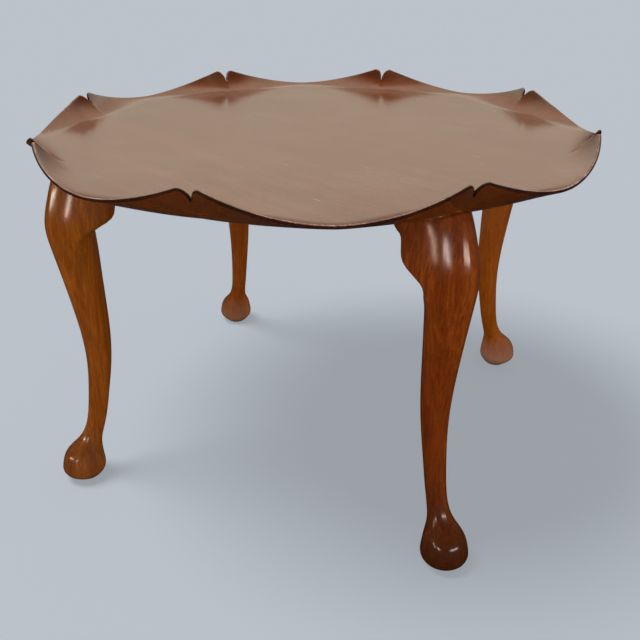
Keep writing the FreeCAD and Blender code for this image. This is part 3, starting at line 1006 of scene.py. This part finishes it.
def make_floor():
    mesh = bpy.data.meshes.new("floor")
    corners = [(-1, -1), (1, -1), (1, 1), (-1, 1)]
    mesh.from_pydata([(x * FLOOR_HALF, y * FLOOR_HALF, 0) for x, y in corners], [], [(0, 1, 2, 3)])
    floor = bpy.data.objects.new("floor", mesh)
    scene.collection.objects.link(floor)
    # an even pale grey with no shine of its own
    material, tree = new_material("pale paper floor")
    ray = add_node(tree, "ShaderNodeLightPath")
    colour = add_node(tree, "ShaderNodeMix", {"data_type": "RGBA"}, Factor=ray.outputs["Is Glossy Ray"],
                      i6=linear(FLOOR_PAPER), i7=linear(FLOOR_MIRRORED))
    paper = add_node(tree, "ShaderNodeBsdfDiffuse", Color=colour.outputs["Result"])
    shaded = add_node(tree, "ShaderNodeBsdfDiffuse", Color=linear(FLOOR_SHADED))
    glow = add_node(tree, "ShaderNodeEmission", Color=linear(FLOOR_SEEN), Strength=FLOOR_EVEN)
    seen = add_node(tree, "ShaderNodeAddShader", i0=shaded.outputs["BSDF"], i1=glow.outputs["Emission"])
    surface = add_node(tree, "ShaderNodeMixShader", Fac=ray.outputs["Is Camera Ray"],
                       i1=paper.outputs["BSDF"], i2=seen.outputs["Shader"])
    add_node(tree, "ShaderNodeOutputMaterial", Surface=surface.outputs["Shader"])
    mesh.materials.append(material)
    return floor


floor = make_floor()
print("floor reaches", FLOOR_HALF, "m")

# %% Keys on the dish and on the floor


def towards(turn, tilt):
    turn = math.radians(turn)
    tilt = math.radians(tilt)
    return Vector((math.sin(turn) * math.cos(tilt), -math.cos(turn) * math.cos(tilt), math.sin(tilt)))


def lit_only(light, pieces):
    group = bpy.data.collections.new("lit by " + light.name)
    for piece in pieces:
        group.objects.link(piece)
    light.light_linking.receiver_collection = group


def key_light(name, turn, tilt, spread, strength, pieces):
    lamp = bpy.data.lights.new(name, "SUN")
    lamp.angle = math.radians(spread)
    lamp.energy = strength
    light = bpy.data.objects.new(name, lamp)
    light.rotation_euler = towards(turn, tilt).to_track_quat("Z", "Y").to_euler()
    light.visible_glossy = False
    scene.collection.objects.link(light)
    lit_only(light, pieces)


# turn and tilt of the key, its spread, all in degrees, and its strength
key_light("key on the dish", -60, 78, 40, 0.87, [dish])
key_light("key on the floor", -75, 65, 30, 6.0, [floor])
print("keys:", len(bpy.data.lights))

# %% Windows and fills for the front legs
LAMP_DISTANCE = 1.5
KNEE_ACROSS = 0.205
KNEE_OUT = -0.233
KNEE_UP = 0.365
# what a lamp lights and where it points
left_leg = ([legs[0], blocks[0], blocks[1]], Vector((-KNEE_ACROSS, KNEE_OUT, KNEE_UP)))
right_leg = ([legs[1], blocks[2], blocks[3]], Vector((KNEE_ACROSS, KNEE_OUT, KNEE_UP)))


def soft_lamp(name, target, turn, tilt, roll, width, height, radiance, colour, shines_on_polish):
    pieces, knee = target
    lamp = bpy.data.lights.new(name, "AREA")
    lamp.shape = "RECTANGLE"
    lamp.size = width
    lamp.size_y = height
    lamp.color = linear(colour)[:3]
    lamp.energy = radiance * math.pi * width * height
    light = bpy.data.objects.new(name, lamp)
    facing = towards(turn, tilt).to_track_quat("Z", "Y").to_matrix().to_4x4()
    facing = facing @ Matrix.Rotation(math.radians(roll), 4, "Z")
    facing.translation = knee + towards(turn, tilt) * LAMP_DISTANCE
    light.matrix_world = facing
    light.visible_camera = False
    light.visible_diffuse = not shines_on_polish
    light.visible_glossy = shines_on_polish
    scene.collection.objects.link(light)
    lit_only(light, pieces)


# turn, tilt and roll in degrees, width and height in metres, radiance, colour, and whether the lamp
# shows in the polish or lights the wood under it
soft_lamp("left window", right_leg, -34.5, 4, 52, 0.10, 0.43, 12.0, "#ffdcc4", True)
soft_lamp("middle window", right_leg, -12.5, 3.8, 63, 0.085, 0.27, 27.0, "#ffe8da", True)
soft_lamp("right window", right_leg, 63, 4.2, -8, 1.1, 0.115, 17.0, "#ffe8da", True)
soft_lamp("near left window", left_leg, -15, 3.8, -30, 0.09, 0.26, 26.0, "#ffe8da", True)
soft_lamp("far left window", left_leg, -52, 4.3, 15, 0.65, 0.09, 20.0, "#fff0d8", True)
soft_lamp("right fill", right_leg, 55, 15, 0, 0.8, 0.8, 0.8, "#fffaf2", False)
soft_lamp("left fill", left_leg, -60, 15, 0, 0.8, 0.8, 1.0, "#fffaf2", False)
print("lights:", len(bpy.data.lights))

# %% [markdown]
# ## The room
# To the wood itself the room is brightest near the horizon, as a room with windows all round is, so
# the legs under the dish get their share. To the polish it is pale behind the table, mostly
# brighter upwards, and dark in front, which is what the dish and its turned-up rim were seen to
# reflect. To the camera it has the floor's own colour, so that no horizon shows.

# %% The room as the polish shows it
SHEEN_SCALE = 2.0
SHEEN_DIM = 0.02
# turn and tilt of the pale side in degrees, and the cosines from it between which it fades
PALE_SIDE = (200, 30)
PALE_FROM = 0.42
PALE_TO = 0.8
# height as the sine of the angle above the floor, then how bright the room behind is there
SHEEN_BY_HEIGHT = [(0.0, 0.12), (0.087, 0.33), (0.174, 0.58), (0.242, 0.83), (0.342, 1.2), (0.42, 0.85),
                   (0.5, 0.75), (0.643, 0.95), (0.866, 1.5), (0.94, 1.4), (1.0, 0.5)]


def room_sheen(tree, direction, height):
    rising = add_node(tree, "ShaderNodeValToRGB", Fac=height)
    ramp = rising.color_ramp
    for place, _ in SHEEN_BY_HEIGHT[1:-1]:
        ramp.elements.new(place)
    for element, (place, bright) in zip(ramp.elements, SHEEN_BY_HEIGHT):
        element.position = place
        element.color = (bright / SHEEN_SCALE,) * 3 + (1.0,)
    behind = add_node(tree, "ShaderNodeVectorMath", {"operation": "DOT_PRODUCT"},
                      i0=direction, i1=tuple(towards(*PALE_SIDE)))
    side = add_node(tree, "ShaderNodeMapRange", {"interpolation_type": "SMOOTHSTEP"},
                    Value=behind.outputs["Value"], From_Min=PALE_FROM, From_Max=PALE_TO,
                    To_Max=SHEEN_SCALE)
    sheen = add_node(tree, "ShaderNodeMath", {"operation": "MULTIPLY_ADD"}, i0=rising.outputs["Color"],
                     i1=side.outputs["Result"], i2=SHEEN_DIM)
    return sheen.outputs["Value"]


print("brightest sheen", max(bright for _, bright in SHEEN_BY_HEIGHT))

# %% The whole room
ROOM_LIGHT = 0.265
ROOM_HORIZON = 10.0
ROOM_COLOUR = "#fdfdff"
SHEEN_COLOUR = "#fff9e3"


def make_room():
    world = bpy.data.worlds.new("studio room")
    world.use_nodes = True
    tree = world.node_tree
    tree.nodes.clear()
    direction = add_node(tree, "ShaderNodeTexCoord").outputs["Generated"]
    height = add_node(tree, "ShaderNodeSeparateXYZ", Vector=direction).outputs["Z"]
    lowness = add_node(tree, "ShaderNodeMath", {"operation": "SUBTRACT", "use_clamp": True},
                       i0=1.0, i1=height)
    squared = add_node(tree, "ShaderNodeMath", {"operation": "POWER"}, i0=lowness.outputs["Value"], i1=2.0)
    plain = add_node(tree, "ShaderNodeMath", {"operation": "MULTIPLY_ADD"}, i0=squared.outputs["Value"],
                     i1=ROOM_LIGHT * ROOM_HORIZON, i2=ROOM_LIGHT)
    ray = add_node(tree, "ShaderNodeLightPath")
    mirrored_ray = ray.outputs["Is Glossy Ray"]
    strength = add_node(tree, "ShaderNodeMix", {"data_type": "FLOAT"}, Factor=mirrored_ray,
                        i2=plain.outputs["Value"], i3=room_sheen(tree, direction, height))
    colour = add_node(tree, "ShaderNodeMix", {"data_type": "RGBA"}, Factor=mirrored_ray,
                      i6=linear(ROOM_COLOUR), i7=linear(SHEEN_COLOUR))
    room = add_node(tree, "ShaderNodeBackground", Color=colour.outputs["Result"],
                    Strength=strength.outputs["Result"])
    backdrop = add_node(tree, "ShaderNodeBackground", Color=linear(FLOOR_SEEN))
    shown = add_node(tree, "ShaderNodeMixShader", Fac=ray.outputs["Is Camera Ray"],
                     i1=room.outputs["Background"], i2=backdrop.outputs["Background"])
    add_node(tree, "ShaderNodeOutputWorld", Surface=shown.outputs["Shader"])
    scene.world = world


make_room()
print("room light", ROOM_LIGHT)
